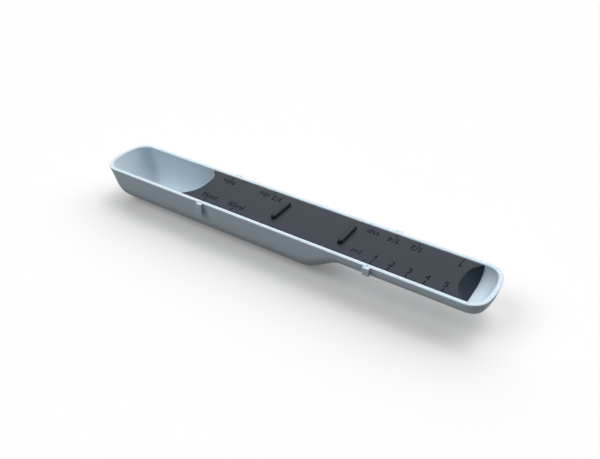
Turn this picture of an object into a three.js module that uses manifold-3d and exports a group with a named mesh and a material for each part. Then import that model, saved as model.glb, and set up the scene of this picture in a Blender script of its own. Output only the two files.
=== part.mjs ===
import * as THREE from 'three';
import { mergeVertices } from 'three/addons/utils/BufferGeometryUtils.js';
import Module from 'manifold-3d';

// Double-ended adjustable measuring spoon, in millimetres, Z up.
// A pale spoon body has a deep tablespoon bowl at -X and a shallow teaspoon trough at +X.
// A dark slider lies flush with its rim and closes off both pockets at once: pushed along X,
// it makes one pocket larger and the other smaller, and its scales are read at the pointers.
// The origin is on the table, under the middle of the spoon.

const degrees = Math.PI / 180;

// Spoon body, overall
const spoonLength = 180;
const spoonWidth = 26.6;
const sideRim = 1.85;
const endRim = 1.45;
const floorWall = 1;
const sideDraft = 5;

// The two troughs and the step between their floors
const tablespoonDepth = 16.7;
const teaspoonDepth = 6.85;
const tablespoonRadius = 9;
const teaspoonRadius = 6;
const stepCentre = 23.75;
const stepLength = 18.5;

// The closed ends of the troughs
const tablespoonBow = 49;
const tablespoonCorner = 4.4;
const tablespoonCornerFoot = 1.6;
const tablespoonEndSlope = 18;
const tablespoonEndFillet = 4.6;
const teaspoonBow = 35;
const teaspoonCorner = 3.8;
const teaspoonCornerFoot = 3;
const teaspoonEndSlope = 10;
const teaspoonEndFillet = 2.6;
const widestCorner = 0.6;

// Pointers on the outside of the rim, where the scales are read
const tablespoonPointer = -34;
const teaspoonPointer = 45;
const pointerWidth = 3.4;
const pointerProud = 1;
const tablespoonPointerHeight = 4.8;
const teaspoonPointerHeight = 3.2;
const pointerDrop = 0.1;
const arrowWidth = 2.9;
const arrowDepth = 0.3;
const arrowTipInset = 0.3;

// Slider: where it closes the pockets, and its plate
const tablespoonPocket = 42.85;
const teaspoonPocket = 7.55;
const sideClearance = 0.25;
const plateSink = 0.15;
const plateThickness = 1.8;
const tablespoonScoop = 4.5;
const teaspoonScoop = 3.9;
const scoopPower = 2.8;
const scoopOverlap = 0.05;

// Slider: hollow underside
const endWeb = 1.5;
const skirtWall = 1.4;
const skirtDepth = 4.2;
const gussetLength = 24;
const flangeWall = 2.6;

// Slider: finger ribs
const fingerRibCentre = 13.9;
const fingerRibSpacing = 31.1;
const fingerRibLength = 13;
const fingerRibWidth = 1.7;
const fingerRibHeight = 1.2;
const fingerRibCrown = 0.45;

// Slider: beads that snap into a groove along each side wall, and its stroke from rest
const beadRadius = 0.5;
const beadDepth = 1.4;
const beadLength = 48;
const beadCentre = 14;
const strokeToTablespoon = 29.4;
const strokeToTeaspoon = 1;
const stopClearance = 0.3;

// Wiper seals, each in a groove round an end of the slider
const sealWidth = 1.3;
const sealSeat = 1.2;
const sealLand = 1.2;
const sealFit = 0.12;
const sealGap = 0.15;
const sealTop = 2.4;

// Facets
const curveSteps = 8;
const crownSteps = 2;
const beadSteps = 3;
const wallSteps = 2;
const radiusSteps = 7;
const stepStations = 10;
const bowSteps = 4;
const cornerSteps = 6;
const scoopColumns = 9;
const margin = 3;

const wasm = await Module();
wasm.setup();

const rimHeight = tablespoonDepth + floorWall;
const sliderLeft = endRim + tablespoonPocket - spoonLength / 2;
const sliderRight = spoonLength / 2 - endRim - teaspoonPocket;

// Closed meshes and solids

function meshGeometry(vertices, triangles) {
  const geometry = new THREE.BufferGeometry();
  const positions = vertices.flatMap((vertex) => vertex.toArray());
  geometry.setAttribute('position', new THREE.Float32BufferAttribute(positions, 3));
  geometry.setIndex(triangles.flat());
  return geometry;
}

function toSolid(geometry) {
  const bare = geometry.clone();
  bare.deleteAttribute('normal');
  bare.deleteAttribute('uv');
  const merged = mergeVertices(bare);
  const vertProperties = new Float32Array(merged.attributes.position.array);
  const triVerts = new Uint32Array(merged.index.array);
  return new wasm.Manifold(new wasm.Mesh({ numProp: 3, vertProperties, triVerts }));
}

function toGeometry(solid) {
  const { vertProperties, triVerts } = solid.getMesh();
  const geometry = new THREE.BufferGeometry();
  geometry.setAttribute('position', new THREE.BufferAttribute(vertProperties, 3));
  geometry.setIndex(new THREE.BufferAttribute(triVerts, 1));
  geometry.computeVertexNormals();
  return geometry;
}

const xAxis = new THREE.Vector3(1, 0, 0);
const yAxis = new THREE.Vector3(0, 1, 0);
const zAxis = new THREE.Vector3(0, 0, 1);

function extrude(shape, depth) {
  return new THREE.ExtrudeGeometry(shape, { depth, bevelEnabled: false, curveSegments: curveSteps });
}

// A section drawn in (Y, Z), run along X from one place to another.
function alongX(points, from, to) {
  const geometry = extrude(new THREE.Shape(points), to - from);
  geometry.applyMatrix4(new THREE.Matrix4().makeBasis(yAxis, zAxis, xAxis));
  return toSolid(geometry.translate(from, 0, 0));
}

// A side view drawn in (X, Z), run across the spoon.
function acrossY(shape, width) {
  const geometry = extrude(shape, width);
  geometry.applyMatrix4(new THREE.Matrix4().makeBasis(xAxis, zAxis, yAxis.clone().negate()));
  return toSolid(geometry.translate(0, width / 2, 0));
}

// A plan drawn in (X, Y), run up from one depth below the rim to another.
function upwards(shape, fromDepth, toDepth) {
  const geometry = extrude(shape, fromDepth - toDepth);
  return toSolid(geometry.translate(0, 0, rimHeight - fromDepth));
}

// Trough sections: a drafted side wall that turns through a radius into a flat floor

function troughProfile(halfWidth, depth, radius, draft) {
  const wallFoot = depth - radius * (1 - Math.sin(draft));
  const floorHalf = halfWidth - wallFoot * Math.tan(draft) - radius * Math.cos(draft);
  return { halfWidth, depth, radius, draft, wallFoot, floorHalf };
}

// The same section, a gap further in.
function shrink({ halfWidth, depth, radius, draft }, gap) {
  return troughProfile(halfWidth - gap / Math.cos(draft), depth - gap, radius - gap, draft);
}

function wallLine(profile, down) {
  return profile.halfWidth - down * Math.tan(profile.draft);
}

// Half width at a depth, which narrows round the radius to the flat of the floor.
function sectionHalf(profile, down) {
  const { depth, radius, wallFoot, floorHalf } = profile;
  if (down < wallFoot) {
    return wallLine(profile, down);
  }
  const rise = Math.min(down, depth) - depth + radius;
  return floorHalf + Math.sqrt(Math.max(radius * radius - rise * rise, 0));
}

// Half widths and depths down the wall and round the radius, from the rim or from further down.
function halfSection(profile, from = 0) {
  const { depth, radius, draft, wallFoot, floorHalf } = profile;
  const points = [];
  let firstAngle = draft;
  if (from < wallFoot) {
    for (let i = 0; i < wallSteps; i += 1) {
      const down = THREE.MathUtils.lerp(from, wallFoot, i / wallSteps);
      points.push({ y: wallLine(profile, down), down });
    }
  } else {
    firstAngle = Math.asin((from - depth + radius) / radius);
  }
  for (let i = 0; i <= radiusSteps; i += 1) {
    const angle = THREE.MathUtils.lerp(firstAngle, Math.PI / 2, i / radiusSteps);
    points.push({ y: floorHalf + radius * Math.cos(angle), down: depth - radius + radius * Math.sin(angle) });
  }
  return points;
}

// The whole section in (Y, Z), from the near rim, across the floor, to the far rim.
function fullSection(profile, from) {
  const far = halfSection(profile, from).map(({ y, down }) => new THREE.Vector2(y, rimHeight - down));
  const near = far.map((point) => new THREE.Vector2(-point.x, point.y));
  return [...near, ...far.reverse()];
}

const innerHalf = spoonWidth / 2 - sideRim;
const draft = sideDraft * degrees;
const tablespoonTrough = troughProfile(innerHalf, tablespoonDepth, tablespoonRadius, draft);
const teaspoonTrough = troughProfile(innerHalf, teaspoonDepth, teaspoonRadius, draft);

// The outside of a trough: a rim's width away at the top and a floor's thickness away below.
function outsideOf(trough) {
  const depth = trough.depth + floorWall;
  const footHalf = wallLine(trough, trough.depth) + floorWall;
  const outerDraft = Math.atan((spoonWidth / 2 - footHalf) / depth);
  return troughProfile(spoonWidth / 2, depth, trough.radius + sideRim, outerDraft);
}

// Spoon body

// Plan of one closed end, from its tip on the centre line, round a bowed end and a corner to the side.
function endPlan(tip, halfWidth, bow, corner) {
  const reach = Math.sign(tip);
  const cornerY = halfWidth - corner;
  const meeting = Math.asin(cornerY / (bow - corner));
  const bowCentre = Math.abs(tip) - bow;
  const cornerX = bowCentre + (bow - corner) * Math.cos(meeting);
  const plan = [];
  for (let i = 0; i < bowSteps; i += 1) {
    const angle = meeting * i / bowSteps;
    plan.push(new THREE.Vector2(reach * (bowCentre + bow * Math.cos(angle)), bow * Math.sin(angle)));
  }
  for (let i = 0; i <= cornerSteps; i += 1) {
    const angle = THREE.MathUtils.lerp(meeting, Math.PI / 2, i / cornerSteps);
    const x = reach * (cornerX + corner * Math.cos(angle));
    plan.push(new THREE.Vector2(x, cornerY + corner * Math.sin(angle)));
  }
  return plan;
}

// How far the end of a trough comes in at a point of its section: its slope, then its floor fillet.
function endInset(profile, { y, down }, slope, fillet) {
  const roundness = wallLine(profile, down) - y;
  return down * Math.tan(slope * degrees) + roundness * fillet / profile.radius;
}

// A closed loop from its far half, which runs in +X between two points on the centre line.
function mirrored(half) {
  const near = half.map((point) => new THREE.Vector3(point.x, -point.y, point.z));
  return [...near, ...half.slice(1, -1).reverse()];
}

// One closed loop per point of the section, from the rim to the floor. Each loop runs at the tablespoon's
// depth, climbs the S-shaped step and runs on at the teaspoon's depth.
function troughRings(deep, shallow, endWall, cornerExtra) {
  const deepPoints = halfSection(deep);
  const shallowPoints = halfSection(shallow);
  return deepPoints.map((low, level) => {
    const high = shallowPoints[level];
    const lowShare = low.down / deep.depth;
    const highShare = high.down / shallow.depth;
    const half = [];
    const leftTip = endWall - spoonLength / 2 + endInset(deep, low, tablespoonEndSlope, tablespoonEndFillet);
    const leftCorner = THREE.MathUtils.lerp(tablespoonCorner, tablespoonCornerFoot, lowShare) + cornerExtra;
    const leftRound = Math.min(leftCorner, widestCorner * low.y);
    const leftBow = tablespoonBow * low.y / deep.halfWidth;
    for (const { x, y } of endPlan(leftTip, low.y, leftBow, leftRound)) {
      half.push(new THREE.Vector3(x, y, rimHeight - low.down));
    }
    for (let i = 0; i <= stepStations; i += 1) {
      const share = i / stepStations;
      const blend = THREE.MathUtils.smoothstep(share, 0, 1);
      const x = stepCentre + stepLength * (share - 0.5);
      const y = THREE.MathUtils.lerp(low.y, high.y, blend);
      half.push(new THREE.Vector3(x, y, rimHeight - THREE.MathUtils.lerp(low.down, high.down, blend)));
    }
    const rightTip = spoonLength / 2 - endWall - endInset(shallow, high, teaspoonEndSlope, teaspoonEndFillet);
    const rightCorner = THREE.MathUtils.lerp(teaspoonCorner, teaspoonCornerFoot, highShare) + cornerExtra;
    const rightRound = Math.min(rightCorner, widestCorner * high.y);
    const rightBow = teaspoonBow * high.y / shallow.halfWidth;
    for (const { x, y } of endPlan(rightTip, high.y, rightBow, rightRound).reverse()) {
      half.push(new THREE.Vector3(x, y, rimHeight - high.down));
    }
    return mirrored(half);
  });
}

// The closed solid inside a stack of loops, from the top one down to a floor across the lowest.
function tub(rings) {
  const count = rings[0].length;
  const middle = count / 2;
  const triangles = [];
  const quad = (a, b, c, d) => triangles.push([a, b, c], [a, c, d]);
  for (let ring = 0; ring + 1 < rings.length; ring += 1) {
    for (let i = 0; i < count; i += 1) {
      const next = (i + 1) % count;
      const upper = ring * count;
      const lower = upper + count;
      quad(lower + i, lower + next, upper + next, upper + i);
    }
  }
  const last = (rings.length - 1) * count;
  const across = (i) => (count - i) % count;
  for (let i = 0; i < middle; i += 1) {
    quad(i, i + 1, across(i + 1), across(i));
    quad(last + i, last + across(i), last + across(i + 1), last + i + 1);
  }
  const whole = triangles.filter(([a, b, c]) => a !== b && b !== c && c !== a);
  return toSolid(meshGeometry(rings.flat(), whole));
}

const outerRings = troughRings(outsideOf(tablespoonTrough), outsideOf(teaspoonTrough), 0, endRim);
const innerRings = troughRings(tablespoonTrough, teaspoonTrough, endRim, 0);
const openTop = innerRings[0].map((point) => point.clone().setZ(rimHeight + margin));

// Pointer: a tab on the outside wall, and the arrow sunk into the rim above it that points at the scale.
const pointerFace = spoonWidth / 2 + pointerProud;

function pointerTab(x, side, height) {
  const tab = new THREE.Shape();
  tab.moveTo(x - pointerWidth / 2, 0);
  tab.lineTo(x + pointerWidth / 2, 0);
  tab.lineTo(x + pointerWidth / 2, side * pointerFace);
  tab.lineTo(x - pointerWidth / 2, side * pointerFace);
  return upwards(tab, height, pointerDrop);
}

function pointerArrow(x, side) {
  const past = side * (pointerFace + margin);
  const arrow = new THREE.Shape();
  arrow.moveTo(x, side * (innerHalf + arrowTipInset));
  arrow.lineTo(x + arrowWidth / 2, side * pointerFace);
  arrow.lineTo(x + arrowWidth / 2, past);
  arrow.lineTo(x - arrowWidth / 2, past);
  arrow.lineTo(x - arrowWidth / 2, side * pointerFace);
  return upwards(arrow, arrowDepth, -margin);
}

// A rounded bar along one side of the slider plate, and the groove that takes it.
function sideBar(side, radius, from, to) {
  const y = side * wallLine(shrink(tablespoonTrough, sideClearance), beadDepth);
  const bar = new THREE.Path().absarc(y, rimHeight - beadDepth, radius, 0, 2 * Math.PI);
  return alongX(bar.getPoints(beadSteps).slice(0, -1), from, to);
}

const beadStart = beadCentre - beadLength / 2;
const beadEnd = beadCentre + beadLength / 2;

function makeSpoonBody() {
  let body = tub(outerRings);
  const sides = [-1, 1];
  for (const side of sides) {
    body = body.add(pointerTab(tablespoonPointer, side, tablespoonPointerHeight))
      .add(pointerTab(teaspoonPointer, side, teaspoonPointerHeight))
      .subtract(pointerArrow(tablespoonPointer, side))
      .subtract(pointerArrow(teaspoonPointer, side));
  }
  body = body.subtract(tub([openTop, ...innerRings]));
  for (const side of sides) {
    const from = beadStart - strokeToTablespoon - stopClearance;
    const to = beadEnd + strokeToTeaspoon + stopClearance;
    body = body.subtract(sideBar(side, beadRadius + sideClearance, from, to));
  }
  return body;
}

// Slider

const tablespoonPlug = shrink(tablespoonTrough, sideClearance);
const teaspoonPlug = shrink(teaspoonTrough, sideClearance);
const deepPartEnd = stepCentre - stepLength / 2 - strokeToTeaspoon - stopClearance;
const tablespoonEnd = {
  edge: sliderLeft, inwards: 1, trough: tablespoonTrough, plug: tablespoonPlug, scooped: tablespoonScoop,
};
const teaspoonEnd = {
  edge: sliderRight, inwards: -1, trough: teaspoonTrough, plug: teaspoonPlug, scooped: teaspoonScoop,
};

// How far an end face is scooped in: most at the top of the plate's middle, not at all along its outline.
function scoopHalf(end, down) {
  return sectionHalf(end.plug, down) + scoopOverlap;
}

function scoopDepth(end, y, down) {
  const across = Math.min(y / scoopHalf(end, down), 1);
  return end.scooped * (1 - across ** scoopPower) * Math.max(0, 1 - down / end.plug.depth);
}

// Everything outside an end face, or outside a like face further in.
function scoop(end, shift) {
  const { edge, inwards, plug } = end;
  const outerX = edge - inwards * margin;
  const levels = halfSection(plug, plateSink).map(({ down }) => down);
  return tub([-margin, ...levels, plug.depth + margin].map((down) => {
    const z = rimHeight - down;
    const half = [new THREE.Vector3(outerX, 0, z), new THREE.Vector3(outerX, spoonWidth / 2, z)];
    half.push(new THREE.Vector3(edge + inwards * shift, spoonWidth / 2, z));
    for (let column = scoopColumns; column >= 0; column -= 1) {
      const y = scoopHalf(end, down) * column / scoopColumns;
      half.push(new THREE.Vector3(edge + inwards * (scoopDepth(end, y, down) + shift), y, z));
    }
    return mirrored(inwards > 0 ? half : half.reverse());
  }));
}

// Seal grooves: each starts a land's width behind the scooped face, and a flange carries it.
const grooveWidth = sealWidth + 2 * sealFit;
const grooveTop = sealTop - sealFit;

function grooveStart(end) {
  const deepest = sectionHalf(shrink(end.plug, sealSeat), grooveTop);
  return scoopDepth(end, deepest, grooveTop) + sealLand;
}

function flangeEdge(end) {
  return end.edge + end.inwards * (grooveStart(end) + grooveWidth + sealLand);
}

// What the skirts keep in side view: all of both ends, and a curved run down to the skirts between them.
function skirtView() {
  const left = flangeEdge(tablespoonEnd);
  const right = flangeEdge(teaspoonEnd);
  const skirtFoot = rimHeight - skirtDepth;
  const deepFoot = rimHeight - tablespoonPlug.depth;
  const shallowFoot = rimHeight - teaspoonPlug.depth;
  const view = new THREE.Shape();
  view.moveTo(sliderLeft - margin, rimHeight + margin);
  view.lineTo(sliderLeft - margin, deepFoot - margin);
  view.lineTo(left, deepFoot - margin);
  view.lineTo(left, deepFoot);
  view.quadraticCurveTo(left, skirtFoot, left + gussetLength, skirtFoot);
  view.lineTo(right - gussetLength, skirtFoot);
  view.quadraticCurveTo(right, skirtFoot, right, shallowFoot);
  view.lineTo(right, shallowFoot - margin);
  view.lineTo(sliderRight + margin, shallowFoot - margin);
  view.lineTo(sliderRight + margin, rimHeight + margin);
  return view;
}

// The hollow under the plate: skirt walls along the sides, thicker flanges for the seals at both ends.
function hollow() {
  const under = plateSink + plateThickness;
  const left = flangeEdge(tablespoonEnd);
  const right = flangeEdge(teaspoonEnd);
  const room = (plug, wall, from, to) => alongX(fullSection(shrink(plug, wall), under), from, to);
  return room(tablespoonPlug, flangeWall, sliderLeft, left)
    .add(room(tablespoonPlug, skirtWall, left, deepPartEnd))
    .add(room(teaspoonPlug, skirtWall, left, right))
    .add(room(teaspoonPlug, flangeWall, right, sliderRight))
    .subtract(scoop(tablespoonEnd, endWeb))
    .subtract(scoop(teaspoonEnd, endWeb));
}

// A U-shaped band round an end of the slider, between two gaps in from the trough, for a seal or its groove.
function sealBand(end, outerGap, innerGap, top, start, width) {
  const outside = fullSection(shrink(end.trough, outerGap), top);
  const inside = fullSection(shrink(end.trough, innerGap), top);
  const sides = [end.edge + end.inwards * start, end.edge + end.inwards * (start + width)];
  return alongX([...outside, ...inside.reverse()], Math.min(...sides), Math.max(...sides));
}

function sealGroove(end) {
  return sealBand(end, 0, sideClearance + sealSeat, grooveTop, grooveStart(end), grooveWidth);
}

function makeSeal(end) {
  const seat = sideClearance + sealSeat - sealFit;
  return sealBand(end, sealGap, seat, sealTop, grooveStart(end) + sealFit, sealWidth);
}

// A finger rib: a bar with round ends and a crowned top, standing on the plate.
function fingerRib(x) {
  const radius = fingerRibWidth / 2;
  const reach = fingerRibLength / 2 - radius;
  const outline = new THREE.Shape();
  outline.absarc(0, reach, radius, 0, Math.PI);
  outline.absarc(0, -reach, radius, Math.PI, 2 * Math.PI);
  const rib = new THREE.ExtrudeGeometry(outline, {
    depth: plateThickness / 2 + fingerRibHeight - fingerRibCrown,
    bevelThickness: fingerRibCrown,
    bevelSize: fingerRibCrown,
    bevelOffset: -fingerRibCrown,
    bevelSegments: crownSteps,
    curveSegments: curveSteps,
  });
  return toSolid(rib.translate(x, 0, rimHeight - plateSink - plateThickness / 2));
}

function makeSlider() {
  const left = sliderLeft - margin / 2;
  const right = sliderRight + margin / 2;
  const plug = alongX(fullSection(tablespoonPlug, plateSink), left, deepPartEnd)
    .add(alongX(fullSection(teaspoonPlug, plateSink), left, right));
  let slider = plug.intersect(acrossY(skirtView(), spoonWidth)).subtract(hollow());
  for (const end of [tablespoonEnd, teaspoonEnd]) {
    slider = slider.subtract(scoop(end, 0)).subtract(sealGroove(end));
  }
  for (const side of [-1, 1]) {
    slider = slider.add(sideBar(side, beadRadius, beadStart, beadEnd));
    slider = slider.add(fingerRib(fingerRibCentre + side * fingerRibSpacing / 2));
  }
  return slider;
}

const paleBlue = new THREE.MeshStandardMaterial({ color: 0xbccdd8, roughness: 0.45, metalness: 0 });
const darkGrey = new THREE.MeshStandardMaterial({ color: 0x474e56, roughness: 0.55, metalness: 0 });
const sealBlack = new THREE.MeshStandardMaterial({ color: 0x2b3036, roughness: 0.75, metalness: 0 });

function piece(name, solid, material) {
  const mesh = new THREE.Mesh(toGeometry(solid), material);
  mesh.name = name;
  return mesh;
}

const sliderGroup = new THREE.Group();
sliderGroup.add(piece('measuring_slider', makeSlider(), darkGrey));
sliderGroup.add(piece('tablespoon_seal', makeSeal(tablespoonEnd), sealBlack));
sliderGroup.add(piece('teaspoon_seal', makeSeal(teaspoonEnd), sealBlack));

const measuringSpoon = new THREE.Group();
measuringSpoon.add(piece('spoon_body', makeSpoonBody(), paleBlue));
measuringSpoon.add(sliderGroup);

export default measuringSpoon;
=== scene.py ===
import math

import bmesh
import bpy
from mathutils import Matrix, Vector


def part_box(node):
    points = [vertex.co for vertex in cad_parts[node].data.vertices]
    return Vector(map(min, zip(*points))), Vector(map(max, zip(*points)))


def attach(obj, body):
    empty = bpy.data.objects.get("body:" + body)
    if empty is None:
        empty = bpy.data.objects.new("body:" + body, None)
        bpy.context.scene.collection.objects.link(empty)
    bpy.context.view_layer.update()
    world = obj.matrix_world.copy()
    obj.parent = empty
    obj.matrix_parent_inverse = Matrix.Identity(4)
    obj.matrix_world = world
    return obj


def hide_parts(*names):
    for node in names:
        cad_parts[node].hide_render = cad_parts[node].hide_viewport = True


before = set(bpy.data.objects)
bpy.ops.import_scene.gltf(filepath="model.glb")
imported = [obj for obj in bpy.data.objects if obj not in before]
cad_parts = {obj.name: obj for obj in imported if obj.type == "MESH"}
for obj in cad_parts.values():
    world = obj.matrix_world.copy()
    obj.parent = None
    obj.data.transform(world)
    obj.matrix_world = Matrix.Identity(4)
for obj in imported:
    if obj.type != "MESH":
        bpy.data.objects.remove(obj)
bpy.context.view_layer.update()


# Spoon body
# One pale blue-grey moulding, satin inside and out. Its deep trough measures tablespoons and its shallow
# one teaspoons, an S-shaped step joins their floors, and the mould leaves soft edges round the flat rim.
spoon_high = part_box("spoon_body")[1]
spoon_tip = spoon_high.x
rim_z = spoon_high.z
pointer_proud = 0.001
spoon_half = spoon_high.y - pointer_proud
side_rim = 0.00185
floor_wall = 0.001
rim_edge = 0.0004
wall_draft = math.radians(5)
step_centre = 0.02375
step_length = 0.0185
tablespoon_depth = rim_z - floor_wall
tablespoon_radius = 0.009
teaspoon_depth = 0.00685
teaspoon_radius = 0.006
# Each end bows out between two corners and slopes in towards the floor. Slopes are in degrees, and a
# corner's radius changes from the one at the rim to the one at its foot.
tablespoon_end = {
    "side": -1,
    "reach": 0.0024,
    "rim": 0.00165,
    "bow": 0.027,
    "corner": 0.007,
    "foot": 0.003,
    "slope": 19,
    "inner_slope": 30,
    "fillet": 0.0046,
}
teaspoon_end = {
    "side": 1,
    "reach": 0.0004,
    "rim": 0.00185,
    "bow": 0.035,
    "corner": 0.0059,
    "foot": 0.003,
    "slope": 10,
    "inner_slope": 10,
    "fillet": 0.0026,
}
widest_corner_share = 0.6
wall_steps = 3
radius_steps = 22
corner_steps = 12
bow_steps = 8
step_stations = 36
edge_steps = 5
block_edge_steps = 3
round_profile = 0.5
weld_distance = 1e-7
sharp_edge = math.radians(30)
level_normal = 0.9999


class Trough:
    """Half of a trough's section: a drafted wall that turns through a radius into a flat floor."""

    def __init__(self, half_width, depth, radius, draft):
        self.half_width = half_width
        self.depth = depth
        self.radius = radius
        self.draft = draft
        self.wall_foot = depth - radius * (1 - math.sin(draft))
        self.floor_half = half_width - self.wall_foot * math.tan(draft) - radius * math.cos(draft)

    def wall(self, down):
        return self.half_width - down * math.tan(self.draft)

    def width(self, down):
        """Half width at a depth, which narrows round the radius to the flat of the floor."""
        if down < self.wall_foot:
            return self.wall(down)
        rise = min(down, self.depth) - self.depth + self.radius
        return self.floor_half + math.sqrt(max(self.radius * self.radius - rise * rise, 0.0))

    def inside(self, gap):
        half_width = self.half_width - gap / math.cos(self.draft)
        return Trough(half_width, self.depth - gap, self.radius - gap, self.draft)

    def section(self, start):
        """Half widths and depths, from a depth below the rim, down the wall and round to the floor."""
        points = []
        first = self.draft
        if start < self.wall_foot:
            for i in range(wall_steps):
                down = start + (self.wall_foot - start) * i / wall_steps
                points.append((self.wall(down), down))
        else:
            first = math.asin((start - self.depth + self.radius) / self.radius)
        for i in range(radius_steps + 1):
            angle = first + (math.pi / 2 - first) * i / radius_steps
            y = self.floor_half + self.radius * math.cos(angle)
            points.append((y, self.depth - self.radius + self.radius * math.sin(angle)))
        return points


def outside_of(trough):
    """The outer skin of a trough, thicker by the rim's width at the top and by the floor's wall below."""
    depth = trough.depth + floor_wall
    foot = trough.wall(trough.depth) + floor_wall
    return Trough(spoon_half, depth, trough.radius + side_rim, math.atan((spoon_half - foot) / depth))


def end_plan(trough, y, down, end, inner, grow):
    """Plan of a closed end at one depth, from its tip, round the bow and the corner to the side."""
    slope = math.tan(math.radians(end["inner_slope" if inner else "slope"]))
    inset = down * slope + (trough.wall(down) - y) * end["fillet"] / trough.radius
    tip = spoon_tip + end["reach"] - inset + grow
    share = down / trough.depth
    corner = end["corner"] + (end["foot"] - end["corner"]) * share
    if inner:
        tip -= end["rim"]
    else:
        corner += end["rim"]
    corner = min(corner, widest_corner_share * y) + grow
    bow = end["bow"] * y / trough.half_width + grow
    corner_y = y + grow - corner
    meeting = math.asin(corner_y / (bow - corner))
    corner_x = tip - bow + (bow - corner) * math.cos(meeting)
    plan = []
    for i in range(bow_steps):
        angle = meeting * i / bow_steps
        plan.append((end["side"] * (tip - bow + bow * math.cos(angle)), bow * math.sin(angle)))
    for i in range(corner_steps + 1):
        angle = meeting + (math.pi / 2 - meeting) * i / corner_steps
        x = corner_x + corner * math.cos(angle)
        plan.append((end["side"] * x, corner_y + corner * math.sin(angle)))
    return plan


def mirrored(half):
    """The points of a loop from those of its +Y half, which lists X, Y and the depth below the rim."""
    near = [Vector((x, -y, rim_z - down)) for x, y, down in half]
    far = [Vector((x, y, rim_z - down)) for x, y, down in half[1:-1]]
    return near + far[::-1]


def trough_loop(deep, shallow, low, high, inner, grow=0.0):
    """One closed loop: along the tablespoon trough, up the step, along the teaspoon trough and back."""
    half = [(x, y, low[1]) for x, y in end_plan(deep, *low, tablespoon_end, inner, grow)]
    for i in range(step_stations + 1):
        share = i / step_stations
        blend = share * share * (3 - 2 * share)
        x = step_centre + step_length * (share - 0.5)
        y = low[0] + (high[0] - low[0]) * blend + grow
        half.append((x, y, low[1] + (high[1] - low[1]) * blend))
    far_end = end_plan(shallow, *high, teaspoon_end, inner, grow)
    half += [(x, y, high[1]) for x, y in reversed(far_end)]
    return mirrored(half)


def skin_loops(deep, shallow, inner):
    """Loops from the rim to the floor, which start with the quarter turn of the rim's soft edge."""
    loops = []
    rounding = 1 if inner else -1
    for i in range(edge_steps):
        turn = math.pi / 2 * i / edge_steps
        down = rim_edge * (1 - math.cos(turn))
        grow = rounding * rim_edge * (1 - math.sin(turn))
        level = (deep.wall(down), down)
        loops.append(trough_loop(deep, shallow, level, level, inner, grow))
    for low, high in zip(deep.section(rim_edge), shallow.section(rim_edge)):
        loops.append(trough_loop(deep, shallow, low, high, inner))
    return loops


def new_piece(name, points, faces):
    """A mesh with its doubled points welded and its faces turned outwards."""
    mesh = bpy.data.meshes.new(name)
    mesh.from_pydata(points, [], faces)
    shape = bmesh.new()
    shape.from_mesh(mesh)
    bmesh.ops.remove_doubles(shape, verts=shape.verts, dist=weld_distance)
    bmesh.ops.recalc_face_normals(shape, faces=shape.faces)
    shape.to_mesh(mesh)
    shape.free()
    piece = bpy.data.objects.new(name, mesh)
    bpy.context.scene.collection.objects.link(piece)
    return piece


def loft(name, loops):
    """A closed skin through a stack of mirrored loops, with a flat end across the first and the last."""
    count = len(loops[0])
    last = (len(loops) - 1) * count
    faces = []
    for row in range(0, last, count):
        for i in range(count):
            after = (i + 1) % count
            faces.append((row + i, row + after, row + count + after, row + count + i))
    for i in range(count // 2):
        strip = tuple(dict.fromkeys((i, i + 1, count - i - 1, (count - i) % count)))
        faces.append(strip)
        faces.append(tuple(last + corner for corner in strip))
    return new_piece(name, [point for loop in loops for point in loop], faces)


def prism(name, outline, travel):
    """A straight bar: a closed outline of points and the same outline moved along."""
    count = len(outline)
    faces = [tuple(range(count)), tuple(range(count, 2 * count))]
    for i in range(count):
        after = (i + 1) % count
        faces.append((i, after, count + after, count + i))
    return new_piece(name, outline + [point + Vector(travel) for point in outline], faces)


def block(name, low, high, rounding):
    """A box between two corners, with its edges rounded."""
    (x0, y0, z0), (x1, y1, z1) = low, high
    outline = [Vector((x0, y0, z0)), Vector((x1, y0, z0)), Vector((x1, y1, z0)), Vector((x0, y1, z0))]
    piece = prism(name, outline, (0, 0, z1 - z0))
    shape = bmesh.new()
    shape.from_mesh(piece.data)
    bmesh.ops.bevel(
        shape,
        geom=shape.edges[:],
        offset=rounding,
        segments=block_edge_steps,
        profile=round_profile,
        affect="EDGES",
    )
    shape.to_mesh(piece.data)
    shape.free()
    return piece


def settle(piece):
    """Works a piece's modifiers into its mesh."""
    whole = piece.evaluated_get(bpy.context.evaluated_depsgraph_get())
    mesh = bpy.data.meshes.new_from_object(whole)
    piece.modifiers.clear()
    piece.data = mesh


def carve(piece, tool, operation="DIFFERENCE"):
    """Cuts a tool out of a piece, or joins it on, and deletes the tool."""
    boolean = piece.modifiers.new("carve", "BOOLEAN")
    boolean.solver = "EXACT"
    boolean.operation = operation
    boolean.object = tool
    boolean.material_mode = "TRANSFER"
    settle(piece)
    bpy.data.objects.remove(tool)


def soften(piece, level_flats=False):
    """Smooth shading that keeps sharp edges, and keeps level faces flat where asked."""
    shape = bmesh.new()
    shape.from_mesh(piece.data)
    for face in shape.faces:
        face.smooth = not (level_flats and abs(face.normal.z) > level_normal)
    for edge in shape.edges:
        edge.smooth = edge.calc_face_angle(0.0) < sharp_edge
    shape.to_mesh(piece.data)
    shape.free()
    weighted = piece.modifiers.new("weighted", "WEIGHTED_NORMAL")
    weighted.keep_sharp = True
    settle(piece)


tablespoon_trough = Trough(spoon_half - side_rim, tablespoon_depth, tablespoon_radius, wall_draft)
teaspoon_trough = Trough(spoon_half - side_rim, teaspoon_depth, teaspoon_radius, wall_draft)
outer_loops = skin_loops(outside_of(tablespoon_trough), outside_of(teaspoon_trough), inner=False)
inner_loops = skin_loops(tablespoon_trough, teaspoon_trough, inner=True)
spoon = loft("spoon", outer_loops[::-1] + inner_loops)

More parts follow.
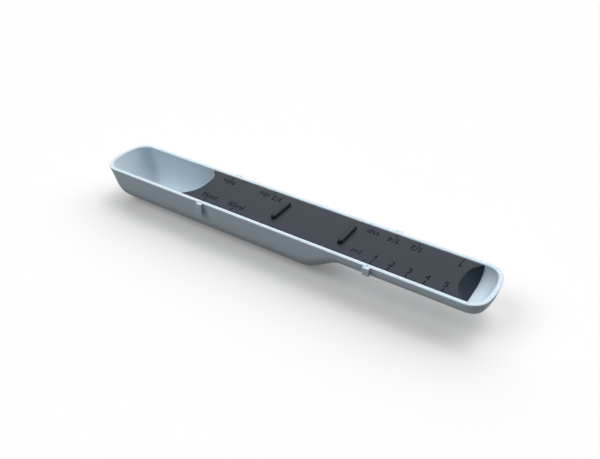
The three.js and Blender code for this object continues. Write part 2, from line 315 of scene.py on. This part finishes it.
# Each long side has two pointer tabs where the scales are read, each with an arrow sunk into the rim.
tablespoon_pointer = -0.0338
teaspoon_pointer = 0.0452
pointer_heights = {tablespoon_pointer: 0.0052, teaspoon_pointer: 0.0038}
pointer_width = 0.0028
pointer_drop = 0.0001
pointer_root = 0.0013
pointer_edge = 0.00022
arrow_width = 0.0024
arrow_depth = 0.0003
arrow_tip_inset = 0.0003

for side in (-1, 1):
    for x, height in pointer_heights.items():
        across = sorted((side * (spoon_half - pointer_root), side * (spoon_half + pointer_proud)))
        low = (x - pointer_width / 2, across[0], rim_z - height)
        high = (x + pointer_width / 2, across[1], rim_z - pointer_drop)
        carve(spoon, block("pointer", low, high, pointer_edge), "UNION")
        tip = side * (spoon_half - side_rim + arrow_tip_inset)
        base = side * (spoon_half + pointer_proud)
        past = base + side * pointer_proud
        outline = [(x, tip), (x + arrow_width / 2, base), (x + arrow_width / 2, past)]
        outline += [(x - arrow_width / 2, past), (x - arrow_width / 2, base)]
        arrow = [Vector((corner_x, corner_y, rim_z - arrow_depth)) for corner_x, corner_y in outline]
        carve(spoon, prism("arrow", arrow, (0, 0, 2 * arrow_depth)))

# A groove along each inner side wall takes the slider's bead and stops it at both ends of its stroke.
side_clearance = 0.00025
bead_radius = 0.0005
bead_depth = 0.0014
bead_start = -0.01
bead_end = 0.038
bead_sides = 16
stroke_to_tablespoon = 0.0294
stroke_to_teaspoon = 0.001
stop_clearance = 0.0003
tablespoon_plug = tablespoon_trough.inside(side_clearance)
teaspoon_plug = teaspoon_trough.inside(side_clearance)


def side_bar(side, radius, start, end):
    """A round bar along a side wall: the slider's bead, or the hollow of the groove that takes it."""
    y = side * tablespoon_plug.wall(bead_depth)
    z = rim_z - bead_depth
    outline = []
    for i in range(bead_sides):
        angle = math.tau * i / bead_sides
        outline.append(Vector((start, y + radius * math.cos(angle), z + radius * math.sin(angle))))
    return prism("side_bar", outline, (end - start, 0, 0))


groove_start = bead_start - stroke_to_tablespoon - stop_clearance
groove_end = bead_end + stroke_to_teaspoon + stop_clearance
for side in (-1, 1):
    carve(spoon, side_bar(side, bead_radius + side_clearance, groove_start, groove_end))

soften(spoon)


def moulded_surface_group():
    """What moulding and use leave on a plastic: grain, soft clouds, faint scuffs and rubbed edges."""
    grain_detail = 2.0
    cloud_scale = 60.0
    cloud_detail = 4.0
    cloud_middle = 0.5
    plain_tone = 1.0
    rub_width = 0.0005
    rub_start = 0.99
    rub_full = 0.85
    scuff_stretch = (0.12, 1.0, 1.0)
    scuff_scale = 700.0
    scuff_detail = 3.0
    group = bpy.data.node_groups.new("moulded_surface", "ShaderNodeTree")
    sockets = (
        ("Colour", "INPUT", "NodeSocketColor"),
        ("Edge Colour", "INPUT", "NodeSocketColor"),
        ("Cloudiness", "INPUT", "NodeSocketFloat"),
        ("Roughness", "INPUT", "NodeSocketFloat"),
        ("Roughness Spread", "INPUT", "NodeSocketFloat"),
        ("Grain Scale", "INPUT", "NodeSocketFloat"),
        ("Colour", "OUTPUT", "NodeSocketColor"),
        ("Roughness", "OUTPUT", "NodeSocketFloat"),
        ("Grain", "OUTPUT", "NodeSocketFloat"),
    )
    for name, in_out, kind in sockets:
        group.interface.new_socket(name=name, in_out=in_out, socket_type=kind)
    nodes = group.nodes
    links = group.links
    given = nodes.new("NodeGroupInput")
    result = nodes.new("NodeGroupOutput")
    place = nodes.new("ShaderNodeTexCoord")

    grain = nodes.new("ShaderNodeTexNoise")
    grain.inputs["Detail"].default_value = grain_detail
    links.new(place.outputs["Object"], grain.inputs["Vector"])
    links.new(given.outputs["Grain Scale"], grain.inputs["Scale"])
    links.new(grain.outputs["Fac"], result.inputs["Grain"])

    clouds = nodes.new("ShaderNodeTexNoise")
    clouds.inputs["Scale"].default_value = cloud_scale
    clouds.inputs["Detail"].default_value = cloud_detail
    links.new(place.outputs["Object"], clouds.inputs["Vector"])
    centred = nodes.new("ShaderNodeMath")
    centred.operation = "SUBTRACT"
    centred.inputs[1].default_value = cloud_middle
    links.new(clouds.outputs["Fac"], centred.inputs[0])
    tone = nodes.new("ShaderNodeMath")
    tone.operation = "MULTIPLY_ADD"
    tone.inputs[2].default_value = plain_tone
    links.new(centred.outputs["Value"], tone.inputs[0])
    links.new(given.outputs["Cloudiness"], tone.inputs[1])

    face = nodes.new("ShaderNodeNewGeometry")
    rounded = nodes.new("ShaderNodeBevel")
    rounded.inputs["Radius"].default_value = rub_width
    bend = nodes.new("ShaderNodeVectorMath")
    bend.operation = "DOT_PRODUCT"
    links.new(face.outputs["Normal"], bend.inputs[0])
    links.new(rounded.outputs["Normal"], bend.inputs[1])
    rubbed = nodes.new("ShaderNodeMapRange")
    rubbed.inputs["From Min"].default_value = rub_start
    rubbed.inputs["From Max"].default_value = rub_full
    links.new(bend.outputs["Value"], rubbed.inputs["Value"])
    mixed = nodes.new("ShaderNodeMix")
    mixed.data_type = "RGBA"
    links.new(rubbed.outputs["Result"], mixed.inputs["Factor"])
    links.new(given.outputs["Colour"], mixed.inputs["A"])
    links.new(given.outputs["Edge Colour"], mixed.inputs["B"])
    toned = nodes.new("ShaderNodeVectorMath")
    toned.operation = "SCALE"
    links.new(mixed.outputs["Result"], toned.inputs[0])
    links.new(tone.outputs["Value"], toned.inputs["Scale"])
    links.new(toned.outputs["Vector"], result.inputs["Colour"])

    stretch = nodes.new("ShaderNodeMapping")
    stretch.inputs["Scale"].default_value = scuff_stretch
    links.new(place.outputs["Object"], stretch.inputs["Vector"])
    scuffs = nodes.new("ShaderNodeTexNoise")
    scuffs.inputs["Scale"].default_value = scuff_scale
    scuffs.inputs["Detail"].default_value = scuff_detail
    links.new(stretch.outputs["Vector"], scuffs.inputs["Vector"])
    patches = nodes.new("ShaderNodeMath")
    patches.operation = "MULTIPLY"
    links.new(scuffs.outputs["Fac"], patches.inputs[0])
    links.new(clouds.outputs["Fac"], patches.inputs[1])
    spread = nodes.new("ShaderNodeMath")
    spread.operation = "MULTIPLY_ADD"
    links.new(patches.outputs["Value"], spread.inputs[0])
    links.new(given.outputs["Roughness Spread"], spread.inputs[1])
    links.new(given.outputs["Roughness"], spread.inputs[2])
    links.new(spread.outputs["Value"], result.inputs["Roughness"])
    return group


moulded_surface = moulded_surface_group()
grain_strength = 0.4


def moulded_plastic(name, finish, gloss, grain_height):
    """A moulded finish in one colour, paler or darker in soft clouds and rubbed along its edges."""
    material = bpy.data.materials.new(name)
    material.use_nodes = True
    nodes = material.node_tree.nodes
    links = material.node_tree.links
    shader = nodes["Principled BSDF"]
    shader.inputs["Specular IOR Level"].default_value = gloss
    surface = nodes.new("ShaderNodeGroup")
    surface.node_tree = moulded_surface
    for socket, value in finish.items():
        surface.inputs[socket].default_value = value
    links.new(surface.outputs["Colour"], shader.inputs["Base Color"])
    links.new(surface.outputs["Roughness"], shader.inputs["Roughness"])
    bump = nodes.new("ShaderNodeBump")
    bump.inputs["Distance"].default_value = grain_height
    bump.inputs["Strength"].default_value = grain_strength
    links.new(surface.outputs["Grain"], bump.inputs["Height"])
    links.new(bump.outputs["Normal"], shader.inputs["Normal"])
    return material


spoon_finish = {
    "Colour": (0.566, 0.668, 0.742, 1),
    "Edge Colour": (0.606, 0.708, 0.777, 1),
    "Cloudiness": 0.05,
    "Roughness": 0.38,
    "Roughness Spread": 0.14,
    "Grain Scale": 2600.0,
}
spoon_plastic = moulded_plastic("spoon_plastic", spoon_finish, gloss=0.3, grain_height=0.00003)
spoon_shader = spoon_plastic.node_tree.nodes["Principled BSDF"]
spoon_shader.inputs["Subsurface Weight"].default_value = 0.6
spoon_shader.inputs["Subsurface Radius"].default_value = (1.0, 1.0, 1.0)
spoon_shader.inputs["Subsurface Scale"].default_value = 0.0008
spoon.data.materials.clear()
spoon.data.materials.append(spoon_plastic)
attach(spoon, "spoon")
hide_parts("spoon_body")


# Measuring slider
# A dark grey matt moulding that slides in the trough, held down by a bead along each side. Its plate lies
# flush with the rim, skirts and end webs keep it square in the trough, and its end faces are scooped out.
slider_low, slider_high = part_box("measuring_slider")
plate_sink = 0.00015
plate_edge = 0.00022
plate_thickness = 0.0018
tablespoon_scoop = 0.0045
teaspoon_scoop = 0.0045
teaspoon_lip = 0.0002
scoop_power = 2.8
scoop_overlap = 0.00005
end_web = 0.0015
skirt_wall = 0.0014
skirt_depth = 0.0042
gusset_length = 0.024
flange_wall = 0.0026
seal_width = 0.0013
seal_seat = 0.0012
seal_land = 0.0012
seal_fit = 0.00012
seal_gap = 0.00015
seal_top = 0.0024
margin = 0.003
scoop_columns = 28
scoop_rows = 16
gusset_steps = 24
deep_part_end = step_centre - step_length / 2 - stroke_to_teaspoon - stop_clearance
groove_width = seal_width + 2 * seal_fit
groove_top = seal_top - seal_fit


class SliderEnd:
    """One scooped end of the slider: its edge, which way is inwards, and the trough that it closes."""

    def __init__(self, edge, inwards, trough, scooped):
        self.edge = edge
        self.inwards = inwards
        self.trough = trough
        self.plug = trough.inside(side_clearance)
        self.scooped = scooped
        deepest = self.plug.inside(seal_seat).width(groove_top)
        self.groove_start = self.scoop_depth(deepest, groove_top) + seal_land
        self.flange_edge = self.x(self.groove_start + groove_width + seal_land)

    def x(self, inset):
        return self.edge + self.inwards * inset

    def scoop_width(self, down):
        return self.plug.width(down) + scoop_overlap

    def scoop_depth(self, y, down):
        across = min(y / self.scoop_width(down), 1.0)
        return self.scooped * (1 - across ** scoop_power) * max(0.0, 1 - down / self.plug.depth)

    def scoop(self, shift, rounding):
        """All that lies outside the end face and its rounded top edge, or outside a like face further in."""
        downs = [-margin]
        for i in range(edge_steps + 1):
            downs.append(plate_sink + rounding * (1 - math.cos(math.pi / 2 * i / edge_steps)))
        start = downs[-1]
        for i in range(1, scoop_rows + 1):
            downs.append(start + (self.plug.depth - start) * i / scoop_rows)
        downs.append(self.plug.depth + margin)
        loops = []
        for down in downs:
            above = min(max(start - down, 0.0), rounding)
            turn = rounding - math.sqrt(rounding * rounding - above * above)
            half = [(self.x(-2 * margin), 0.0, down), (self.x(-2 * margin), spoon_half, down)]
            half.append((self.x(turn + shift), spoon_half, down))
            for column in range(scoop_columns, -1, -1):
                y = self.scoop_width(down) * column / scoop_columns
                half.append((self.x(self.scoop_depth(y, down) + turn + shift), y, down))
            loops.append(mirrored(half))
        return loft("scoop", loops)


def section_outline(trough, start, rounding, x):
    """The whole section of a trough in the plane of one X, from the near edge round to the far one."""
    half = []
    for i in range(edge_steps):
        turn = math.pi / 2 * i / edge_steps
        y = trough.wall(start) - rounding * (1 - math.sin(turn))
        half.append((y, start + rounding * (1 - math.cos(turn))))
    half += trough.section(start + rounding)
    near = [Vector((x, -y, rim_z - down)) for y, down in half]
    far = [Vector((x, y, rim_z - down)) for y, down in half]
    return near + far[::-1]


def trough_bar(trough, start, rounding, from_x, to_x):
    """A straight length of a trough's section, from one X to another."""
    return prism("bar", section_outline(trough, start, rounding, from_x), (to_x - from_x, 0, 0))


deep_end = SliderEnd(slider_low.x, 1, tablespoon_trough, tablespoon_scoop)
shallow_end = SliderEnd(slider_high.x + teaspoon_lip, -1, teaspoon_trough, teaspoon_scoop)

slider = trough_bar(teaspoon_plug, plate_sink, plate_edge, deep_end.x(-margin), shallow_end.x(-margin))
slider.name = "slider"
deep_part = trough_bar(tablespoon_plug, plate_sink, plate_edge, deep_end.x(-margin), deep_part_end)
carve(slider, deep_part, "UNION")


def skirt_view():
    """Side view of what is kept of the plug: both ends, and curved gussets to the skirts between them."""
    left = deep_end.flange_edge
    right = shallow_end.flange_edge
    deep_foot = tablespoon_plug.depth
    shallow_foot = teaspoon_plug.depth
    view = [(deep_end.x(-2 * margin), -margin), (deep_end.x(-2 * margin), deep_foot + margin)]
    view += [(left, deep_foot + margin), (left, deep_foot)]
    for i in range(1, gusset_steps + 1):
        share = i / gusset_steps
        down = skirt_depth + (deep_foot - skirt_depth) * (1 - share) ** 2
        view.append((left + gusset_length * share * share, down))
    for i in range(gusset_steps, -1, -1):
        share = i / gusset_steps
        down = skirt_depth + (shallow_foot - skirt_depth) * (1 - share) ** 2
        view.append((right - gusset_length * share * share, down))
    view += [(right, shallow_foot + margin), (shallow_end.x(-2 * margin), shallow_foot + margin)]
    view.append((shallow_end.x(-2 * margin), -margin))
    outline = [Vector((x, -spoon_half, rim_z - down)) for x, down in view]
    return prism("skirt_view", outline, (0, 2 * spoon_half, 0))


carve(slider, skirt_view(), "INTERSECT")

under = plate_sink + plate_thickness
skirt_room = teaspoon_plug.inside(skirt_wall)
hollow = trough_bar(skirt_room, under, 0.0, deep_end.flange_edge, shallow_end.flange_edge)
rooms = (
    (tablespoon_plug, skirt_wall, deep_end.flange_edge, deep_part_end),
    (tablespoon_plug, flange_wall, deep_end.edge, deep_end.flange_edge),
    (teaspoon_plug, flange_wall, shallow_end.edge, shallow_end.flange_edge),
)
for plug, wall, from_x, to_x in rooms:
    carve(hollow, trough_bar(plug.inside(wall), under, 0.0, from_x, to_x), "UNION")
for end in (deep_end, shallow_end):
    carve(hollow, end.scoop(end_web, 0.0))
carve(slider, hollow)


def seal_groove(end):
    """A band from the trough's own section in to the seat of the seal, as wide as the seal's groove."""
    x = end.x(end.groove_start)
    outside = section_outline(end.trough, groove_top, 0.0, x)
    seat = section_outline(end.trough.inside(side_clearance + seal_seat), groove_top, 0.0, x)
    return prism("seal_groove", outside + seat[::-1], (end.inwards * groove_width, 0, 0))


for end in (deep_end, shallow_end):
    carve(slider, end.scoop(0.0, plate_edge))
    carve(slider, seal_groove(end))
for side in (-1, 1):
    carve(slider, side_bar(side, bead_radius, bead_start, bead_end), "UNION")

# Two ribs across the plate give the thumb a hold. Their tops are crowned and their ends are round.
finger_rib_centre = 0.0139
finger_rib_spacing = 0.0311
finger_rib_length = 0.013
finger_rib_width = 0.0023
finger_rib_height = 0.00165
finger_rib_crown = 0.0011
finger_rib_end_steps = 16
plate_top = rim_z - plate_sink


def finger_rib(x):
    """One rib across the plate, rooted in it, lofted from its foot to the top of its crown."""
    reach = (finger_rib_length - finger_rib_width) / 2
    levels = [(plate_thickness / 2, 0.0)]
    for i in range(edge_steps + 1):
        turn = math.pi / 2 * i / edge_steps
        rise = finger_rib_height - finger_rib_crown * (1 - math.sin(turn))
        levels.append((-rise, finger_rib_crown * (1 - math.cos(turn))))
    loops = []
    for down, inset in levels:
        radius = finger_rib_width / 2 - inset
        half = [(x - radius, 0.0, plate_sink + down)]
        for i in range(finger_rib_end_steps + 1):
            angle = math.pi * i / finger_rib_end_steps
            y = reach + radius * math.sin(angle)
            half.append((x - radius * math.cos(angle), y, plate_sink + down))
        half.append((x + radius, 0.0, plate_sink + down))
        loops.append(mirrored(half))
    return loft("finger_rib", loops)


for side in (-1, 1):
    carve(slider, finger_rib(finger_rib_centre + side * finger_rib_spacing / 2), "UNION")

slider_finish = {
    "Colour": (0.010, 0.019, 0.031, 1),
    "Edge Colour": (0.016, 0.027, 0.041, 1),
    "Cloudiness": 0.10,
    "Roughness": 0.50,
    "Roughness Spread": 0.16,
    "Grain Scale": 3200.0,
}
slider_plastic = moulded_plastic("slider_plastic", slider_finish, gloss=0.275, grain_height=0.00004)
slider.data.materials.clear()
slider.data.materials.append(slider_plastic)

# The scales are engraved along both edges of the plate: millilitres on the near side, and spoon measures
# on the far side, which read from there. Each measure stands beside a short stroke at the plate's edge,
# so many millilitres past the mark that its pointer is on, and a unit by itself has no stroke.
mark_depth = 0.0003
figure_size = 0.0045
figure_boldness = 0.00003
figure_row = 0.0069
stroke_length = 0.0023
stroke_width = 0.00045
flag_length = 0.0007
flag_height = 0.00055
flag_overlap = stroke_width / 4
one_kerning = -10.0
letter_steps = 4
near_side = -1
far_side = 1
tablespoon_millilitre = 0.00295
teaspoon_millilitre = 0.0071
units = ("ml", "tsp")
near_tablespoon_scale = {"15ml": 0, "10ml": 4.75}
near_teaspoon_scale = {"ml": -1.1, "1": 0, "2": 1, "3": 2, "4": 3, "5": 4}
far_tablespoon_scale = {"1tbs": 0, "1/2 tbs": 7.5}
far_teaspoon_scale = {"tsp": -1.15, "1/4": 0.14, "1/2": 1.5, "1": 4}
scales = (
    (near_side, tablespoon_pointer, tablespoon_millilitre, near_tablespoon_scale),
    (near_side, teaspoon_pointer, teaspoon_millilitre, near_teaspoon_scale),
    (far_side, tablespoon_pointer, tablespoon_millilitre, far_tablespoon_scale),
    (far_side, teaspoon_pointer, teaspoon_millilitre, far_teaspoon_scale),
)
# Painted shade: the floors and walls of the engraving take a near-black finish, far darker than the plate's
# own colour, which stands for the shade that falls in the recesses.
mark_shade_finish = {
    "Colour": (0.005, 0.007, 0.010, 1),
    "Edge Colour": (0.010, 0.012, 0.016, 1),
    "Cloudiness": 0.10,
    "Roughness": 0.60,
    "Roughness Spread": 0.10,
    "Grain Scale": 3200.0,
}
painted_mark_shade = moulded_plastic("painted_mark_shade", mark_shade_finish, gloss=0.12, grain_height=0.00004)


def figure(text, x, side):
    """The solids of one figure, which reach as far below the plate's top as above it.

    The loop of a 4 fills up when its strokes are made bolder, so a text with a 4 stays as it is. The
    typeface's 1 is a bare stem, so a slanting flag is added at its top.
    """
    letters = bpy.data.curves.new("figure", "FONT")
    letters.body = text
    letters.size = figure_size
    letters.align_x = "CENTER"
    letters.align_y = "CENTER"
    letters.extrude = mark_depth
    letters.offset = 0.0 if "4" in text else figure_boldness
    letters.resolution_u = letter_steps
    starts_with_one = text[0] == "1"
    if starts_with_one:
        letters.body_format[0].kerning = one_kerning
    flat = bpy.data.objects.new("figure", letters)
    bpy.context.scene.collection.objects.link(flat)
    flat.location = (x, side * figure_row, plate_top)
    flat.rotation_euler = (0, 0, 0 if side == near_side else math.pi)
    bpy.context.view_layer.update()
    place = flat.matrix_world.copy()
    mesh = bpy.data.meshes.new_from_object(flat.evaluated_get(bpy.context.evaluated_depsgraph_get()))
    bpy.data.objects.remove(flat)
    points = [vertex.co.copy() for vertex in mesh.vertices]
    faces = [tuple(polygon.vertices) for polygon in mesh.polygons]
    solids = [new_piece("figure", [place @ point for point in points], faces)]
    if starts_with_one:
        left = min(point.x for point in points)
        top = max(point.y for point in points)
        root = left + flag_overlap
        tip = left - flag_length
        outline = [(root, top), (tip, top - flag_length), (tip, top - flag_length - flag_height)]
        outline.append((root, top - flag_height))
        flag = [place @ Vector((flag_x, flag_y, -mark_depth)) for flag_x, flag_y in outline]
        solids.append(prism("flag", flag, (0, 0, 2 * mark_depth)))
    return solids


def edge_stroke(x, side):
    """The solid of one short stroke, from the plate's edge inwards."""
    outer = side * spoon_half
    inner = side * (tablespoon_plug.wall(plate_sink) - stroke_length)
    outline = [(x - stroke_width / 2, inner), (x + stroke_width / 2, inner)]
    outline += [(x + stroke_width / 2, outer), (x - stroke_width / 2, outer)]
    bottom = [Vector((corner_x, corner_y, plate_top - mark_depth)) for corner_x, corner_y in outline]
    return prism("stroke", bottom, (0, 0, 2 * mark_depth))


for side, pointer, millilitre, scale in scales:
    for text, past in scale.items():
        x = pointer + past * millilitre
        tools = figure(text, x, side)
        if text not in units:
            tools.append(edge_stroke(x, side))
        for tool in tools:
            tool.data.materials.append(painted_mark_shade)
            carve(slider, tool)

soften(slider, level_flats=True)
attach(slider, "slider")
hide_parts("measuring_slider")


# Wiper seals
# A soft near-black strip sits in a groove round each end of the slider, with a thin lip that leans on the
# trough and keeps liquid out from under the plate.
lip_width = 0.0005
lip_tip_half = lip_width / 3
lip_root = 0.0007
lip_step = 0.0001
rubber_finish = {
    "Colour": (0.022, 0.026, 0.032, 1),
    "Edge Colour": (0.030, 0.035, 0.042, 1),
    "Cloudiness": 0.12,
    "Roughness": 0.62,
    "Roughness Spread": 0.20,
    "Grain Scale": 4200.0,
}
rubber = moulded_plastic("seal_rubber", rubber_finish, gloss=0.3, grain_height=0.00002)


def wiper(name, end):
    """A strip swept round a trough's section: a square foot in its groove, and a lip that narrows."""
    foot_gap = side_clearance + seal_seat - seal_fit
    start = end.groove_start + seal_fit
    middle = start + seal_width / 2
    finish = start + seal_width
    profile = [(start, foot_gap), (start, lip_root), (middle - lip_width / 2, lip_root - lip_step)]
    profile += [(middle - lip_tip_half, seal_gap), (middle + lip_tip_half, seal_gap)]
    profile += [(middle + lip_width / 2, lip_root - lip_step), (finish, lip_root), (finish, foot_gap)]
    strands = []
    for inset, gap in profile:
        strands.append(section_outline(end.trough.inside(gap), seal_top, 0.0, end.x(inset)))
    rows = len(strands)
    count = len(strands[0])
    faces = []
    for row in range(rows):
        here = row * count
        after = (row + 1) % rows * count
        for i in range(count - 1):
            faces.append((here + i, here + i + 1, after + i + 1, after + i))
    faces.append(tuple(row * count for row in range(rows)))
    faces.append(tuple(row * count + count - 1 for row in range(rows)))
    seal = new_piece(name, [point for strand in strands for point in strand], faces)
    soften(seal)
    seal.data.materials.append(rubber)
    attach(seal, "slider")
    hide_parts(name)


wiper("tablespoon_seal", deep_end)
wiper("teaspoon_seal", shallow_end)


# Floor
# A white table top that runs out into a white backdrop. It keeps the spoon's soft shadow, and throws
# little light back up at its sides.
floor_half = 3.0
floor_white = (0.675, 0.675, 0.675, 1)
bounce_grey = (0.24, 0.24, 0.24, 1)
floor_glow = 0.166
floor_corners = ((-1, -1, 0), (1, -1, 0), (1, 1, 0), (-1, 1, 0))
floor = new_piece("floor", [floor_half * Vector(corner) for corner in floor_corners], [(0, 1, 2, 3)])
floor_paint = bpy.data.materials.new("floor_paint")
floor_paint.use_nodes = True
floor_nodes = floor_paint.node_tree.nodes
floor_links = floor_paint.node_tree.links
floor_shader = floor_nodes["Principled BSDF"]
floor_shader.inputs["Roughness"].default_value = 1.0
floor_shader.inputs["Specular IOR Level"].default_value = 0.0
ray = floor_nodes.new("ShaderNodeLightPath")
shade = floor_nodes.new("ShaderNodeMix")
shade.data_type = "RGBA"
shade.inputs["A"].default_value = bounce_grey
shade.inputs["B"].default_value = floor_white
floor_links.new(ray.outputs["Is Camera Ray"], shade.inputs["Factor"])
floor_links.new(shade.outputs["Result"], floor_shader.inputs["Base Color"])
seen = floor_nodes.new("ShaderNodeMath")
seen.operation = "MAXIMUM"
floor_links.new(ray.outputs["Is Camera Ray"], seen.inputs[0])
floor_links.new(ray.outputs["Is Glossy Ray"], seen.inputs[1])
lift = floor_nodes.new("ShaderNodeMath")
lift.operation = "MULTIPLY"
lift.inputs[1].default_value = floor_glow
floor_links.new(seen.outputs["Value"], lift.inputs[0])
floor_shader.inputs["Emission Color"].default_value = (1, 1, 1, 1)
floor_links.new(lift.outputs["Value"], floor_shader.inputs["Emission Strength"])
floor.data.materials.append(floor_paint)


# Light
# Two broad canopies of white cloth stand behind the spoon, to its right and left. A soft lamp overhead
# reaches into its pockets, and one at the front left draws the pointer tabs' shadows on the near wall.
def soft_light(name, azimuth, elevation, spread, strength):
    """A distant light: its place in degrees round from +X and above the table, and how wide it looks."""
    source = bpy.data.lights.new(name, "SUN")
    source.angle = math.radians(spread)
    source.energy = strength
    around = math.radians(azimuth)
    above = math.radians(elevation)
    level = math.cos(above)
    towards = Vector((level * math.cos(around), level * math.sin(around), math.sin(above)))
    lamp = bpy.data.objects.new(name, source)
    lamp.location = towards
    lamp.rotation_euler = towards.to_track_quat("Z", "Y").to_euler()
    bpy.context.scene.collection.objects.link(lamp)


soft_light("canopy_right", azimuth=57, elevation=42, spread=56, strength=1.39)
soft_light("canopy_left", azimuth=122, elevation=40, spread=60, strength=1.45)
soft_light("overhead", azimuth=68, elevation=76, spread=32, strength=0.95)
soft_light("left_lamp", azimuth=222, elevation=48, spread=40, strength=1.36)

room_glow = 0.02
backdrop_white = 1.0
room = bpy.data.worlds.new("room")
room.use_nodes = True
bpy.context.scene.world = room
room_nodes = room.node_tree.nodes
room_links = room.node_tree.links
background = room_nodes["Background"]
background.inputs["Color"].default_value = (1, 1, 1, 1)
room_ray = room_nodes.new("ShaderNodeLightPath")
glow = room_nodes.new("ShaderNodeMapRange")
glow.inputs["To Min"].default_value = room_glow
glow.inputs["To Max"].default_value = backdrop_white
room_links.new(room_ray.outputs["Is Camera Ray"], glow.inputs["Value"])
room_links.new(glow.outputs["Result"], background.inputs["Strength"])


# Camera
# It stands where the photograph was taken from, in front of the teaspoon end and well above the rim.
camera_place = Vector((0.12904, -0.18688, rim_z + 0.15166))
camera_target = Vector((0.01204, -0.00687, rim_z))
focal_pixels = 667.7
photo_width = 600
lens = bpy.data.cameras.new("camera")
lens.lens = focal_pixels * lens.sensor_width / photo_width
camera = bpy.data.objects.new("camera", lens)
camera.location = camera_place
camera.rotation_euler = (camera_target - camera_place).to_track_quat("-Z", "Y").to_euler()
bpy.context.scene.collection.objects.link(camera)
bpy.context.scene.camera = camera
bpy.context.scene.view_settings.view_transform = "Standard"
